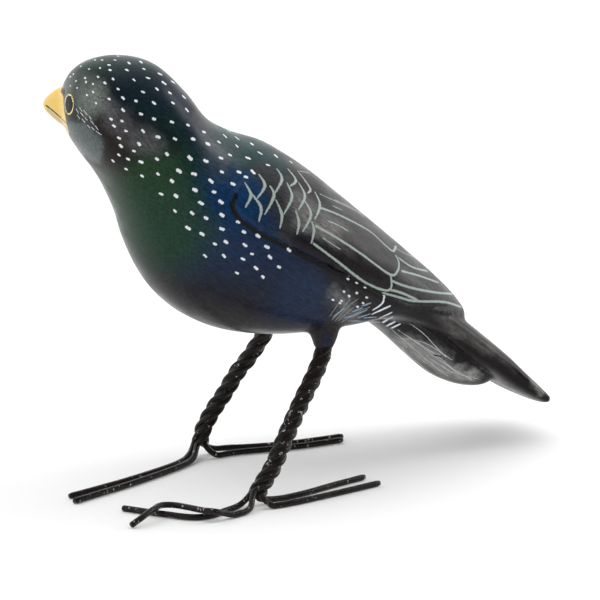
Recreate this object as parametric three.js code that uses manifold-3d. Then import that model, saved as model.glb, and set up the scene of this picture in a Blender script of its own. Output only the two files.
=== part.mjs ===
// Ceramic starling figurine on twisted wire legs.
// Millimetres, +Z up. The bird faces -X, its left side is -Y, its feet rest on z = 0.

import * as THREE from 'three';
import { mergeVertices } from 'three/addons/utils/BufferGeometryUtils.js';
import Module from 'manifold-3d';

const wasm = await Module();
wasm.setup();

// Overall size: the modelled form below is written in hundredths of this height.
const FIGURE_HEIGHT = 100;

// Wire legs. A strand's pitch grows from the ankle to the thigh, and a steep lead needs some room.
const WIRE_DIAMETER = 1.4;
const WIRE_GAP = 0.3;
const TWIST_PITCH_TOP = 15;
const TWIST_PITCH_ANKLE = 12;
const LEAD_ALLOWANCE = 1.15;

// Sockets in the thighs.
const SOCKET_CLEARANCE = 0.25;
const SOCKET_DEPTH = 7;
const SOCKET_END_GAP = 0.9;
const THIGH_WALL = 0.4;
const THIGH_FLARE = 1.5;
const THIGH_LENGTH = 10.5;

// The notch that parts the two wing tips.
const NOTCH_WIDTH = 3.4;
const NOTCH_LENGTH = 24;
const NOTCH_DEPTH = 7;
const NOTCH_END = [62.0, 32.6];
const NOTCH_SLOPE = 0.8;

// Mesh fineness.
const BODY_RINGS = 46;
const BODY_SIDES = 30;
const WING_RINGS = 28;
const UNDERTAIL_RINGS = 12;
const UNDERTAIL_SIDES = 22;
const BEAK_RINGS = 8;
const BEAK_SIDES = 14;
const THIGH_SIDES = 20;
const SOCKET_SIDES = 16;
const OUTLINE_STEPS = 3;
const WIRE_SIDES = 6;
const STEPS_PER_TURN = 8;
const STEPS_PER_TOE = 9;

const UNIT = FIGURE_HEIGHT / 100;

// Stations from the face to the tail tip, each with
// back x, back z, belly x, belly z, half width, shift to the right, corner (2 is an ellipse).
const BODY_STATIONS = [
  [-38.2, 87.4, -38.2, 87.4, 0.0, 2.5, 2.0],
  [-36.9, 93.4, -36.4, 81.2, 8.5, 2.5, 2.0],
  [-33.3, 97.9, -33.1, 76.0, 13.4, 2.3, 2.0],
  [-26.4, 99.3, -30.0, 71.6, 15.4, 2.0, 2.0],
  [-18.8, 97.5, -27.6, 66.7, 16.2, 1.5, 2.0],
  [-12.3, 91.6, -25.6, 61.4, 16.8, 0.9, 2.0],
  [-6.8, 84.7, -24.1, 55.8, 17.9, 0.4, 2.0],
  [0.2, 80.7, -21.7, 50.1, 19.4, 0.0, 2.0],
  [8.6, 77.6, -17.9, 44.5, 21.0, 0.0, 2.0],
  [17.2, 71.7, -11.7, 39.2, 22.2, 0.0, 2.0],
  [25.8, 64.1, -3.1, 35.1, 22.4, 0.0, 2.0],
  [34.6, 55.6, 8.2, 33.0, 21.4, 0.0, 2.0],
  [42.6, 46.8, 19.6, 33.4, 19.2, 0.0, 2.1],
  [50.4, 39.4, 32.0, 34.8, 16.6, 0.0, 2.2],
  [58.2, 32.6, 46.6, 30.2, 14.2, 0.0, 2.3],
  [64.6, 27.3, 58.4, 21.8, 13.2, 0.0, 2.5],
  [70.4, 22.3, 66.2, 17.0, 12.8, 0.0, 2.6],
  [76.0, 16.8, 72.6, 12.5, 12.8, 0.0, 2.6],
  [80.0, 13.0, 77.4, 9.6, 12.2, 0.0, 2.6],
  [82.2, 10.6, 80.6, 8.4, 10.4, 0.0, 2.5],
  [82.7, 9.0, 82.7, 9.0, 0.0, 0.0, 2.4],
];

// The feathers under the tail, a keel that runs from the vent to a blunt point.
const UNDERTAIL_STATIONS = [
  [31.0, 39.0, 31.0, 39.0, 0.0, 0.0, 2.0],
  [40.0, 38.0, 34.6, 34.0, 8.4, 0.0, 2.0],
  [48.0, 35.0, 41.4, 28.4, 9.6, 0.0, 2.0],
  [55.0, 31.0, 47.6, 22.6, 9.6, 0.0, 2.0],
  [61.0, 26.6, 53.8, 17.3, 9.0, 0.0, 2.0],
  [66.0, 22.4, 60.2, 14.2, 7.8, 0.0, 2.0],
  [70.0, 18.6, 66.2, 13.2, 5.6, 0.0, 2.0],
  [71.4, 15.0, 71.4, 15.0, 0.0, 0.0, 2.0],
];

// The folded wings and the back between them, a second skin over the body's flanks.
const WING_STATIONS = [
  [-9.0, 66.0, -9.0, 66.0, 0.0, 0.0, 2.0],
  [-4.8, 79.4, -20.0, 56.0, 18.2, 0.0, 2.0],
  [1.4, 78.8, -18.0, 50.4, 21.3, 0.0, 2.0],
  [8.8, 77.2, -13.6, 45.6, 23.2, 0.0, 2.0],
  [17.2, 72.0, -7.4, 41.4, 24.4, 0.0, 2.0],
  [25.8, 65.1, 1.4, 37.6, 24.7, 0.0, 2.0],
  [34.8, 57.7, 12.0, 35.0, 23.6, 0.0, 2.0],
  [43.4, 50.3, 24.0, 34.0, 21.4, 0.0, 2.1],
  [51.6, 43.2, 36.0, 31.0, 17.4, 0.0, 2.2],
  [57.6, 37.2, 46.0, 28.0, 12.6, 0.0, 2.4],
  [59.8, 33.4, 53.0, 27.0, 9.0, 0.0, 2.6],
  [59.4, 28.0, 59.4, 28.0, 0.0, 0.0, 2.6],
];

// Side view of the wing: from the shoulder along the lower edge to the tip (x, z).
const WING_SHOULDER = [[6.0, 83.0], [0.0, 76.6], [-4.6, 73.0], [-7.8, 70.6], [-8.5, 68.0], [-7.0, 65.0]];
const WING_LOWER_EDGE = [[-2.6, 61.6], [4.3, 57.6], [12.0, 53.2], [20.0, 48.6], [28.0, 44.0],
  [36.0, 40.2], [44.0, 38.0], [52.0, 35.4], [58.4, 32.0]];
const WING_BEYOND = [[64.0, 30.6], [80.0, 36.0], [60.0, 95.0], [10.0, 95.0]];
const WING_SPAN = 70;

// Bill: where its root is centred inside the face, where it ends, and its half height and half width.
const BEAK_ROOT = [-30.5, 8.4, 86.2];
const BEAK_TIP = [-37.8, 17.7, 87.1];
const BEAK_HALF_HEIGHT = 7.3;
const BEAK_HALF_WIDTH = 5.0;
const BEAK_DROOP = 2.0;
const BEAK_TAPER = 0.58;

// Legs: the line down the middle of each twist, from the thigh to the ankle, and the four wires.
// A wire starts from its quarter of the twist (0 is ahead and to the right, then turning to the back)
// and its toe runs through points given as x, y and how far it is lifted off the floor.
const LEGS = [
  {
    name: 'left_leg',
    hip: [17.2, -14.2, 34.0],
    thighEnd: [16.4, -15.2, 30.6],
    below: [[13.8, -16.8, 26.7], [8.2, -19.8, 20.5], [2.9, -22.8, 14.3], [-1.9, -25.2, 8.0],
      [-5.4, -26.4, 4.4], [-7.0, -27.2, 2.9]],
    wires: [
      {
        name: 'front_wire_over', quarter: 3,
        toe: [[-10.4, -30.6, 0.4], [-12.6, -31.6, 0], [-14.9, -32.2, 0], [-17.9, -32.7, 0.9],
          [-20.2, -33.1, 1.7], [-22.3, -31.2, 1.8], [-24.1, -27.4, 1.7], [-26.2, -23.9, 1.6],
          [-28.7, -23.5, 1.8], [-32.2, -26.1, 1.9], [-35.4, -27.8, 1.2], [-38.5, -28.6, 0]],
      },
      {
        name: 'front_wire_under', quarter: 0,
        toe: [[-10.6, -26.9, 0.5], [-13.0, -27.6, 0], [-15.9, -28.7, 0], [-19.6, -30.2, 0],
          [-22.9, -30.0, 0], [-25.4, -28.3, 0], [-28.2, -24.8, 0], [-30.4, -22.1, 0],
          [-32.5, -19.2, 0], [-34.8, -16.1, 0]],
      },
      {
        name: 'hind_wire_inner', quarter: 1,
        toe: [[-3.4, -26.6, 0.4], [0.9, -26.0, 0], [6.0, -25.1, 0], [15.1, -22.5, 0], [24.6, -20.1, 0]],
      },
      {
        name: 'hind_wire_outer', quarter: 2,
        toe: [[-4.6, -30.2, 0.1], [0.4, -30.2, 0], [6.4, -29.4, 0], [14.6, -28.0, 0], [25.2, -26.0, 0]],
      },
    ],
  },
  {
    name: 'right_leg',
    hip: [17.8, 13.0, 34.0],
    thighEnd: [16.8, 13.4, 30.0],
    below: [[12.9, 13.9, 24.0], [9.1, 14.3, 19.6], [6.0, 14.8, 14.8], [2.8, 15.2, 10.4],
      [0.6, 15.6, 6.2], [-0.2, 15.6, 3.1]],
    wires: [
      {
        name: 'front_wire_inner', quarter: 3,
        toe: [[-4.4, 10.8, 0.4], [-9.8, 7.4, 0], [-25.6, 0.1, 0], [-34.8, -3.4, 0], [-42.2, -6.2, 0]],
      },
      {
        name: 'front_wire_outer', quarter: 0,
        toe: [[-4.0, 13.8, 0.5], [-9.2, 9.9, 0], [-24.1, 3.4, 0], [-33.1, 0.4, 0], [-41.6, -2.2, 0]],
      },
      {
        name: 'hind_wire_outer', quarter: 1,
        toe: [[3.2, 16.2, 0.6], [8.0, 15.9, 0.2], [11.8, 15.2, 0], [17.2, 13.8, 0], [24.9, 12.8, 0],
          [36.8, 12.6, 0]],
      },
      {
        name: 'hind_wire_inner', quarter: 2,
        toe: [[2.2, 12.0, 0.2], [6.0, 12.2, 0], [9.6, 11.9, 0], [15.4, 10.9, 0], [23.3, 9.8, 0],
          [35.2, 9.8, 0]],
      },
    ],
  },
];

const GLAZE = { color: 0x17191d, roughness: 0.22, metalness: 0 };
const BLACK_WIRE = { color: 0x141210, roughness: 0.35, metalness: 0.4 };

const wireRadius = WIRE_DIAMETER / 2;
const twistRadius = (WIRE_DIAMETER + WIRE_GAP) / Math.SQRT2 * LEAD_ALLOWANCE;
const socketRadius = twistRadius + wireRadius + SOCKET_CLEARANCE;
const thighRadius = socketRadius + THIGH_WALL;

const scaled = (values) => values.map((value) => value * UNIT);
const point = (values) => new THREE.Vector3(...scaled(values));

// Catmull-Rom value between four neighbours.
function blend(a, b, c, d, t) {
  const slope = (c - a) / 2;
  const nextSlope = (d - b) / 2;
  const bend = 3 * (c - b) - 2 * slope - nextSlope;
  const twist = 2 * (b - c) + slope + nextSlope;
  return b + t * (slope + t * (bend + t * twist));
}

// A loft closes at each end in a point, so the row beyond an end is its neighbour turned over:
// back and belly change places and the half width changes sign.
function turnedOver(row) {
  const [backX, backZ, bellyX, bellyZ, halfWidth, shift, corner] = row;
  return [bellyX, bellyZ, backX, backZ, -halfWidth, shift, corner];
}

function stationAt(stations, along) {
  const last = stations.length - 1;
  const index = Math.min(Math.floor(along * last), last - 1);
  const before = index > 0 ? stations[index - 1] : turnedOver(stations[1]);
  const after = index + 2 <= last ? stations[index + 2] : turnedOver(stations[last - 1]);
  const t = along * last - index;
  return stations[index].map((value, column) =>
    blend(before[column], value, stations[index + 1][column], after[column], t));
}

// One closed ring of points around a station: angle 0 is the back, a quarter turn is the left side.
function stationRing(stations, along, sides) {
  const [backX, backZ, bellyX, bellyZ, halfWidth, shift, corner] = stationAt(stations, along);
  const ring = [];
  for (let side = 0; side < sides; side += 1) {
    const angle = side / sides * 2 * Math.PI;
    const up = Math.cos(angle);
    const across = -Math.sin(angle);
    const reach = (Math.abs(up) ** corner + Math.abs(across) ** corner) ** (-1 / corner);
    ring.push(point([
      (backX + bellyX) / 2 + (backX - bellyX) / 2 * up * reach,
      shift + halfWidth * across * reach,
      (backZ + bellyZ) / 2 + (backZ - bellyZ) / 2 * up * reach,
    ]));
  }
  return ring;
}

// A closed skin over rings of equal count, with a point at each end.
function skin(rings, startPoint, endPoint) {
  const sides = rings[0].length;
  const points = [startPoint, ...rings.flat(), endPoint];
  const endIndex = points.length - 1;
  const indices = [];
  const at = (ring, side) => 1 + ring * sides + side % sides;
  for (let side = 0; side < sides; side += 1) {
    indices.push(0, at(0, side + 1), at(0, side));
    indices.push(endIndex, at(rings.length - 1, side), at(rings.length - 1, side + 1));
    for (let ring = 0; ring < rings.length - 1; ring += 1) {
      indices.push(at(ring, side), at(ring, side + 1), at(ring + 1, side));
      indices.push(at(ring, side + 1), at(ring + 1, side + 1), at(ring + 1, side));
    }
  }
  const geometry = new THREE.BufferGeometry().setFromPoints(points);
  geometry.setIndex(indices);
  return geometry;
}

function loft(stations, ringCount, sides) {
  const rings = [];
  for (let ring = 1; ring < ringCount; ring += 1) {
    rings.push(stationRing(stations, ring / ringCount, sides));
  }
  const [startX, startZ, , , , startShift] = stations[0];
  const [endX, endZ, , , , endShift] = stations[stations.length - 1];
  return skin(rings, point([startX, startShift, startZ]), point([endX, endShift, endZ]));
}

// Solids for joining and cutting.
function solid(geometry) {
  const bare = geometry.clone();
  bare.deleteAttribute('normal');
  bare.deleteAttribute('uv');
  const merged = mergeVertices(bare, 1e-5);
  const vertProperties = new Float32Array(merged.attributes.position.array);
  const triVerts = new Uint32Array(merged.index.array);
  return new wasm.Manifold(new wasm.Mesh({ numProp: 3, vertProperties, triVerts }));
}

function geometryOf(manifold) {
  const { vertProperties, triVerts, numProp } = manifold.getMesh();
  const positions = [];
  for (let start = 0; start < vertProperties.length; start += numProp) {
    positions.push(vertProperties[start], vertProperties[start + 1], vertProperties[start + 2]);
  }
  const geometry = new THREE.BufferGeometry();
  geometry.setAttribute('position', new THREE.Float32BufferAttribute(positions, 3));
  geometry.setIndex(Array.from(triVerts));
  geometry.computeVertexNormals();
  return geometry;
}

// A round bar from one point to another, its ends square to its line.
function bar(start, end, startRadius, endRadius, sides) {
  const length = start.distanceTo(end);
  const geometry = new THREE.CylinderGeometry(endRadius, startRadius, length, sides);
  const line = end.clone().sub(start).normalize();
  const turn = new THREE.Quaternion().setFromUnitVectors(new THREE.Vector3(0, 1, 0), line);
  geometry.applyQuaternion(turn);
  const middle = start.clone().lerp(end, 0.5);
  geometry.translate(middle.x, middle.y, middle.z);
  return geometry;
}

// The wings' side outline, extruded through the whole bird.
function wingOutline() {
  const depth = WING_SPAN * UNIT;
  const flat = (pair) => new THREE.Vector2(...scaled(pair));
  const shape = new THREE.Shape();
  shape.moveTo(...scaled(WING_SHOULDER[0]));
  shape.splineThru([...WING_SHOULDER.slice(1), ...WING_LOWER_EDGE].map(flat));
  WING_BEYOND.forEach((pair) => shape.lineTo(...scaled(pair)));
  const curveSegments = OUTLINE_STEPS;
  const geometry = new THREE.ExtrudeGeometry(shape, { depth, bevelEnabled: false, curveSegments });
  geometry.rotateX(Math.PI / 2);
  geometry.translate(0, depth / 2, 0);
  return geometry;
}

// A wedge that parts the two wing tips along the middle of the back.
function tipNotch() {
  const shape = new THREE.Shape();
  shape.moveTo(-NOTCH_LENGTH * UNIT, 0);
  shape.lineTo(0, -NOTCH_WIDTH / 2 * UNIT);
  shape.lineTo(0, NOTCH_WIDTH / 2 * UNIT);
  shape.closePath();
  const depth = NOTCH_DEPTH * UNIT;
  const geometry = new THREE.ExtrudeGeometry(shape, { depth, bevelEnabled: false });
  geometry.translate(0, 0, -depth / 2);
  geometry.rotateY(NOTCH_SLOPE);
  geometry.translate(NOTCH_END[0] * UNIT, 0, NOTCH_END[1] * UNIT);
  return geometry;
}

function beak() {
  const root = point(BEAK_ROOT);
  const tip = point(BEAK_TIP);
  const line = tip.clone().sub(root);
  const across = new THREE.Vector3(0, 0, 1).cross(line).normalize();
  const up = line.clone().cross(across).normalize();
  const rings = [];
  for (let ring = 0; ring < BEAK_RINGS; ring += 1) {
    const along = ring / BEAK_RINGS;
    const taper = (1 - along) ** BEAK_TAPER * UNIT;
    const centre = root.clone().addScaledVector(line, along);
    centre.addScaledVector(up, BEAK_DROOP * UNIT * along * (1 - along));
    const points = [];
    for (let side = 0; side < BEAK_SIDES; side += 1) {
      const angle = side / BEAK_SIDES * 2 * Math.PI;
      const spot = centre.clone();
      spot.addScaledVector(up, Math.cos(angle) * BEAK_HALF_HEIGHT * taper);
      spot.addScaledVector(across, -Math.sin(angle) * BEAK_HALF_WIDTH * taper);
      points.push(spot);
    }
    rings.push(points);
  }
  return skin(rings, root, tip);
}

// Where a leg leaves the thigh, and a place on the thigh's own line that far out from there.
function onThigh(leg, outwardBy) {
  const thighEnd = point(leg.thighEnd);
  const outward = thighEnd.clone().sub(point(leg.hip)).normalize();
  return thighEnd.addScaledVector(outward, outwardBy);
}

// The leg line from just above the socket's floor to the ankle.
function legCurve(leg) {
  const top = onThigh(leg, SOCKET_END_GAP - SOCKET_DEPTH);
  const line = [top, onThigh(leg, 0), ...leg.below.map(point)];
  return new THREE.CatmullRomCurve3(line, false, 'centripetal');
}

function thigh(leg) {
  const root = onThigh(leg, -THIGH_LENGTH);
  return bar(root, onThigh(leg, 0), thighRadius * THIGH_FLARE, thighRadius, THIGH_SIDES);
}

function socket(leg) {
  const floor = onThigh(leg, -SOCKET_DEPTH);
  return bar(floor, onThigh(leg, SOCKET_DEPTH), socketRadius, socketRadius, SOCKET_SIDES);
}

function ceramicBody() {
  const fullWings = solid(loft(WING_STATIONS, WING_RINGS, BODY_SIDES));
  const wings = fullWings.intersect(solid(wingOutline())).subtract(solid(tipNotch()));
  const undertail = solid(loft(UNDERTAIL_STATIONS, UNDERTAIL_RINGS, UNDERTAIL_SIDES));
  let body = solid(loft(BODY_STATIONS, BODY_RINGS, BODY_SIDES));
  body = body.add(wings).add(undertail).add(solid(beak()));
  LEGS.forEach((leg) => {
    body = body.add(solid(thigh(leg)));
  });
  LEGS.forEach((leg) => {
    body = body.subtract(solid(socket(leg)));
  });
  return geometryOf(body);
}

// How far the twist has turned at a part of the leg's length up from the ankle.
function twistAngle(length, up) {
  const change = TWIST_PITCH_TOP - TWIST_PITCH_ANKLE;
  return 2 * Math.PI * length / change * Math.log(1 + change * up / TWIST_PITCH_ANKLE);
}

// One strand of a twisted leg, from inside its socket round the leg line and out along its toe.
function strandPoints(leg, wireOf) {
  const curve = legCurve(leg);
  const length = curve.getLength();
  const steps = Math.round(twistAngle(length, 1) / (2 * Math.PI) * STEPS_PER_TURN);
  const points = [];
  for (let step = 0; step <= steps; step += 1) {
    const centre = curve.getPointAt(step / steps);
    const line = curve.getTangentAt(step / steps);
    const ahead = new THREE.Vector3(-1, 0, 0).addScaledVector(line, line.x).normalize();
    const beside = line.clone().cross(ahead);
    const angle = (wireOf.quarter + 0.5) * Math.PI / 2 - twistAngle(length, 1 - step / steps);
    centre.addScaledVector(ahead, Math.cos(angle) * twistRadius);
    centre.addScaledVector(beside, Math.sin(angle) * twistRadius);
    points.push(centre);
  }
  const toe = wireOf.toe.map(([x, y, lift]) => point([x, y, lift]).setZ(lift * UNIT + wireRadius));
  const bend = new THREE.CatmullRomCurve3([...points.slice(-2), ...toe], false, 'centripetal');
  const toeSteps = STEPS_PER_TOE + toe.length;
  for (let step = 1; step <= toeSteps; step += 1) {
    const spot = bend.getPoint((1 + step / toeSteps * toe.length) / (toe.length + 1));
    points.push(spot.setZ(Math.max(spot.z, wireRadius)));
  }
  return points;
}

// A wire through given points. It is framed from its toe end, so a flat of it lies on the floor.
function wire(points) {
  const path = points.slice().reverse();
  const rings = [];
  let normal = new THREE.Vector3(0, 0, 1);
  const flatTurn = Math.PI / WIRE_SIDES;
  for (let index = 0; index < path.length; index += 1) {
    const previous = path[Math.max(index - 1, 0)];
    const next = path[Math.min(index + 1, path.length - 1)];
    const line = next.clone().sub(previous).normalize();
    normal = normal.clone().addScaledVector(line, -normal.dot(line)).normalize();
    const beside = line.clone().cross(normal);
    const ring = [];
    for (let side = 0; side < WIRE_SIDES; side += 1) {
      const angle = side / WIRE_SIDES * 2 * Math.PI + flatTurn;
      const spot = path[index].clone();
      spot.addScaledVector(normal, Math.cos(angle) * wireRadius / Math.cos(flatTurn));
      spot.addScaledVector(beside, Math.sin(angle) * wireRadius / Math.cos(flatTurn));
      ring.push(spot);
    }
    rings.push(ring);
  }
  return skin(rings, path[0], path[path.length - 1]);
}

function mesh(name, geometry, finish) {
  geometry.computeVertexNormals();
  const made = new THREE.Mesh(geometry, new THREE.MeshStandardMaterial(finish));
  made.name = name;
  return made;
}

const figurine = new THREE.Group();
figurine.add(mesh('ceramic_body', ceramicBody(), GLAZE));
LEGS.forEach((leg) => {
  leg.wires.forEach((wireOf) => {
    figurine.add(mesh(`${leg.name}_${wireOf.name}`, wire(strandPoints(leg, wireOf)), BLACK_WIRE));
  });
});

// The origin is under the middle of the whole figurine, on the floor.
const box = new THREE.Box3().setFromObject(figurine);
figurine.position.set(-(box.min.x + box.max.x) / 2, -(box.min.y + box.max.y) / 2, -box.min.z);

export default figurine;
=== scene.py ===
import math
import random

import bpy
import numpy as np
from mathutils import Matrix, Vector
from mathutils.bvhtree import BVHTree

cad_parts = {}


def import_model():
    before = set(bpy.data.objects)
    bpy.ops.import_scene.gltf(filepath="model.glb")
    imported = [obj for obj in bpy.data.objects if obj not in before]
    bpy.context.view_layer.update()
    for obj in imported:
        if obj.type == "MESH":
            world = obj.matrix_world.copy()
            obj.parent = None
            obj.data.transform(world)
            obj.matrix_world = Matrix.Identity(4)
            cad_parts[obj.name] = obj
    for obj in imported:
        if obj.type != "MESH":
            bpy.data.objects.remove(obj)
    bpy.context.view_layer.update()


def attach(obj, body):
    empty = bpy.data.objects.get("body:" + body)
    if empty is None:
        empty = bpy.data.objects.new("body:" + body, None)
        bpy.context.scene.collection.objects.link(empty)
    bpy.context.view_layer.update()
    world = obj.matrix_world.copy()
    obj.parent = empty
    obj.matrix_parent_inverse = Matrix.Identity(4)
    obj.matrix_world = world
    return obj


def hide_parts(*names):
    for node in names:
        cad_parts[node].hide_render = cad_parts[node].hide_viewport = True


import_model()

# A starling of fired clay, painted by hand and varnished, on feet of twisted black wire.
# Its form is written in millimetres about the middle of its body. SHIFT puts it in the frame.
MM = 0.001
SHIFT = np.array([-20.134, 4.636, 0.001])
rng = random.Random(7)

# Stations from the face to the tail: back x, back z, belly x, belly z, half width, shift, corner.
BODY_STATIONS = np.array([
    [-38.2, 87.4, -38.2, 87.4, 0.0, 2.5, 2.0],
    [-36.9, 93.4, -36.4, 81.2, 8.5, 2.5, 2.0],
    [-33.3, 97.9, -33.1, 76.0, 13.4, 2.3, 2.0],
    [-26.4, 99.3, -30.0, 71.6, 15.4, 2.0, 2.0],
    [-18.8, 97.5, -27.6, 66.7, 16.2, 1.5, 2.0],
    [-12.3, 91.6, -25.6, 61.4, 16.8, 0.9, 2.0],
    [-6.8, 84.7, -24.1, 55.8, 17.9, 0.4, 2.0],
    [0.2, 80.7, -21.7, 50.1, 19.4, 0.0, 2.0],
    [8.6, 77.6, -17.9, 44.5, 21.0, 0.0, 2.0],
    [17.2, 71.7, -11.7, 39.2, 22.2, 0.0, 2.0],
    [25.8, 64.1, -3.1, 35.1, 22.4, 0.0, 2.0],
    [34.6, 55.6, 8.2, 33.0, 21.4, 0.0, 2.0],
    [42.6, 46.8, 19.6, 33.4, 19.2, 0.0, 2.1],
    [50.4, 39.4, 32.0, 34.8, 16.6, 0.0, 2.2],
    [58.2, 32.6, 46.6, 30.2, 14.2, 0.0, 2.3],
    [64.6, 27.3, 58.4, 21.8, 13.2, 0.0, 2.5],
    [70.4, 22.3, 66.2, 17.0, 12.8, 0.0, 2.6],
    [76.0, 16.8, 72.6, 12.5, 12.8, 0.0, 2.6],
    [80.0, 13.0, 77.4, 9.6, 12.2, 0.0, 2.6],
    [82.2, 10.6, 80.6, 8.4, 10.4, 0.0, 2.5],
    [82.7, 9.0, 82.7, 9.0, 0.0, 0.0, 2.4],
])
UNDERTAIL_STATIONS = np.array([
    [31.0, 39.0, 31.0, 39.0, 0.0, 0.0, 2.0],
    [40.0, 38.0, 34.6, 34.0, 8.4, 0.0, 2.0],
    [48.0, 35.0, 41.4, 28.4, 9.6, 0.0, 2.0],
    [55.0, 31.0, 47.6, 22.6, 9.6, 0.0, 2.0],
    [61.0, 26.6, 53.8, 17.3, 9.0, 0.0, 2.0],
    [66.0, 22.4, 60.2, 14.2, 7.8, 0.0, 2.0],
    [70.0, 18.6, 66.2, 13.2, 5.6, 0.0, 2.0],
    [71.4, 15.0, 71.4, 15.0, 0.0, 0.0, 2.0],
])
WING_STATIONS = np.array([
    [-9.0, 66.0, -9.0, 66.0, 0.0, 0.0, 2.0],
    [-4.8, 79.4, -20.0, 56.0, 18.2, 0.0, 2.0],
    [1.4, 78.8, -18.0, 50.4, 21.3, 0.0, 2.0],
    [8.8, 77.2, -13.6, 45.6, 23.2, 0.0, 2.0],
    [17.2, 72.0, -7.4, 41.4, 24.4, 0.0, 2.0],
    [25.8, 65.1, 1.4, 37.6, 24.6, 0.0, 2.0],
    [34.8, 57.7, 12.0, 35.0, 23.6, 0.0, 2.0],
    [43.4, 50.3, 24.0, 34.0, 21.4, 0.0, 2.1],
    [51.6, 43.2, 36.0, 31.0, 17.4, 0.0, 2.2],
    [57.6, 37.2, 46.0, 28.0, 12.6, 0.0, 2.4],
    [59.8, 33.4, 53.0, 27.0, 9.0, 0.0, 2.6],
    [59.4, 28.0, 59.4, 28.0, 0.0, 0.0, 2.6],
])
WING_START = (6.0, 83.0)
WING_EDGE = [(0.0, 76.6), (-4.6, 73.0), (-7.8, 70.6), (-8.5, 68.0), (-7.0, 65.0), (-2.6, 61.6),
             (4.3, 57.6), (12.0, 53.2), (20.0, 48.6), (28.0, 44.0), (36.0, 40.2), (44.0, 38.0),
             (52.0, 35.4), (58.4, 32.0)]
WING_BEYOND = [(64.0, 30.6), (80.0, 36.0), (60.0, 95.0), (10.0, 95.0)]
NOTCH_END = (62.0, 32.6)
NOTCH_LENGTH = 24.0
NOTCH_WIDTH = 3.4
NOTCH_DEPTH = 7.0
NOTCH_SLOPE = 0.8
WING_HALF_SPAN = 35

BEAK_ROOT = np.array([-30.5, 8.4, 86.2])
BEAK_TIP = np.array([-37.8, 17.7, 87.1])
BEAK_HALF_HEIGHT = 7.3
BEAK_HALF_WIDTH = 5.0
BEAK_DROOP = 2.0
BEAK_TAPER = 0.58
BEAK_CROWDING = 1.5
BEAK_BASE = 6.5
BILL_PATCH = ((-35.6, 12.2, 86.2), (7.4, 7.6, 6.4))
HEAD_MIDDLE = np.array([-24.0, 2.0, 87.0])

# The legs: the line of each twist, and each wire's quarter of it with its toe (x, y, lift).
WIRE_RADIUS = 0.7
TWIST_RADIUS = 1.7 / math.sqrt(2) * 1.15
THIGH_RADIUS = TWIST_RADIUS + WIRE_RADIUS + 0.65
THIGH_FLARE = 1.5
THIGH_LIP = 3.5
BUNDLE_RADIUS = 2.0
CORE_RADIUS = 1.4
CORE_SWELL = 0.6
CORE_END = 0.97
THIGH_LENGTH = 10.5
SOCKET_REACH = 6.1
PITCH_TOP = 15.0
PITCH_ANKLE = 12.0
LEGS = {
    "left_leg": {
        "hip": (17.2, -14.2, 34.0),
        "thigh_end": (16.4, -15.2, 30.6),
        "below": [(13.8, -16.8, 26.7), (8.2, -19.8, 20.5), (2.9, -22.8, 14.3), (-1.9, -25.2, 8.0),
                  (-5.4, -26.4, 4.4), (-7.0, -27.2, 2.9)],
        "wires": {
            "front_wire_over": (3, [(-10.4, -30.6, 0.4), (-12.6, -31.6, 0), (-14.9, -32.2, 0),
                                    (-17.9, -32.7, 0.9), (-20.2, -33.1, 1.7), (-22.3, -31.2, 1.8),
                                    (-24.1, -27.4, 1.7), (-26.2, -23.9, 1.6), (-28.7, -23.5, 1.8),
                                    (-32.2, -26.1, 1.9), (-35.4, -27.8, 1.2), (-38.5, -28.6, 0)]),
            "front_wire_under": (0, [(-10.6, -26.9, 0.5), (-13.0, -27.6, 0), (-15.9, -28.7, 0),
                                     (-19.6, -30.2, 0), (-22.9, -30.0, 0), (-25.4, -28.3, 0),
                                     (-28.2, -24.8, 0), (-30.4, -22.1, 0), (-32.5, -19.2, 0),
                                     (-34.8, -16.1, 0)]),
            "hind_wire_inner": (1, [(-3.4, -26.6, 0.4), (0.9, -26.0, 0), (6.0, -25.1, 0),
                                    (15.1, -22.5, 0), (24.6, -20.1, 0)]),
            "hind_wire_outer": (2, [(-4.6, -30.2, 0.1), (0.4, -30.2, 0), (6.4, -29.4, 0),
                                    (14.6, -28.0, 0), (25.2, -26.0, 0)]),
        },
    },
    "right_leg": {
        "hip": (17.8, 13.0, 34.0),
        "thigh_end": (16.8, 13.4, 30.0),
        "below": [(12.9, 13.9, 24.0), (9.1, 14.3, 19.6), (6.0, 14.8, 14.8), (2.8, 15.2, 10.4),
                  (0.6, 15.6, 6.2), (-0.2, 15.6, 3.1)],
        "wires": {
            "front_wire_inner": (3, [(-4.4, 10.8, 0.4), (-9.8, 7.4, 0), (-25.6, 0.1, 0),
                                     (-34.8, -3.4, 0), (-42.2, -6.2, 0)]),
            "front_wire_outer": (0, [(-4.0, 13.8, 0.5), (-9.2, 9.9, 0), (-24.1, 3.4, 0),
                                     (-33.1, 0.4, 0), (-41.6, -2.2, 0)]),
            "hind_wire_outer": (1, [(3.2, 16.2, 0.6), (8.0, 15.9, 0.2), (11.8, 15.2, 0),
                                    (17.2, 13.8, 0), (24.9, 12.8, 0), (36.8, 12.6, 0)]),
            "hind_wire_inner": (2, [(2.2, 12.0, 0.2), (6.0, 12.2, 0), (9.6, 11.9, 0),
                                    (15.4, 10.9, 0), (23.3, 9.8, 0), (35.2, 9.8, 0)]),
        },
    },
}

# Fineness of the clay skin and of what it is made from: rings and sides of each form.
SKIN_STEP = 0.56
BODY_FINENESS = (170, 110)
WING_FINENESS = (110, 96)
UNDERTAIL_FINENESS = (60, 60)
BEAK_RINGS = 60
BEAK_SIDES = 40
THIGH_RINGS = 36
THIGH_SIDES = 40
CORE_RINGS = 60
CORE_SIDES = 20
WIRE_SIDES = 14
WIRE_END_SHARE = 0.8
CURVE_STEPS = 5
LINE_POINTS = 400
LINE_STEP = 0.004
TURN_STEPS = 8
STRAND_STEPS = 4
BEND_STEPS = 12

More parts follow.
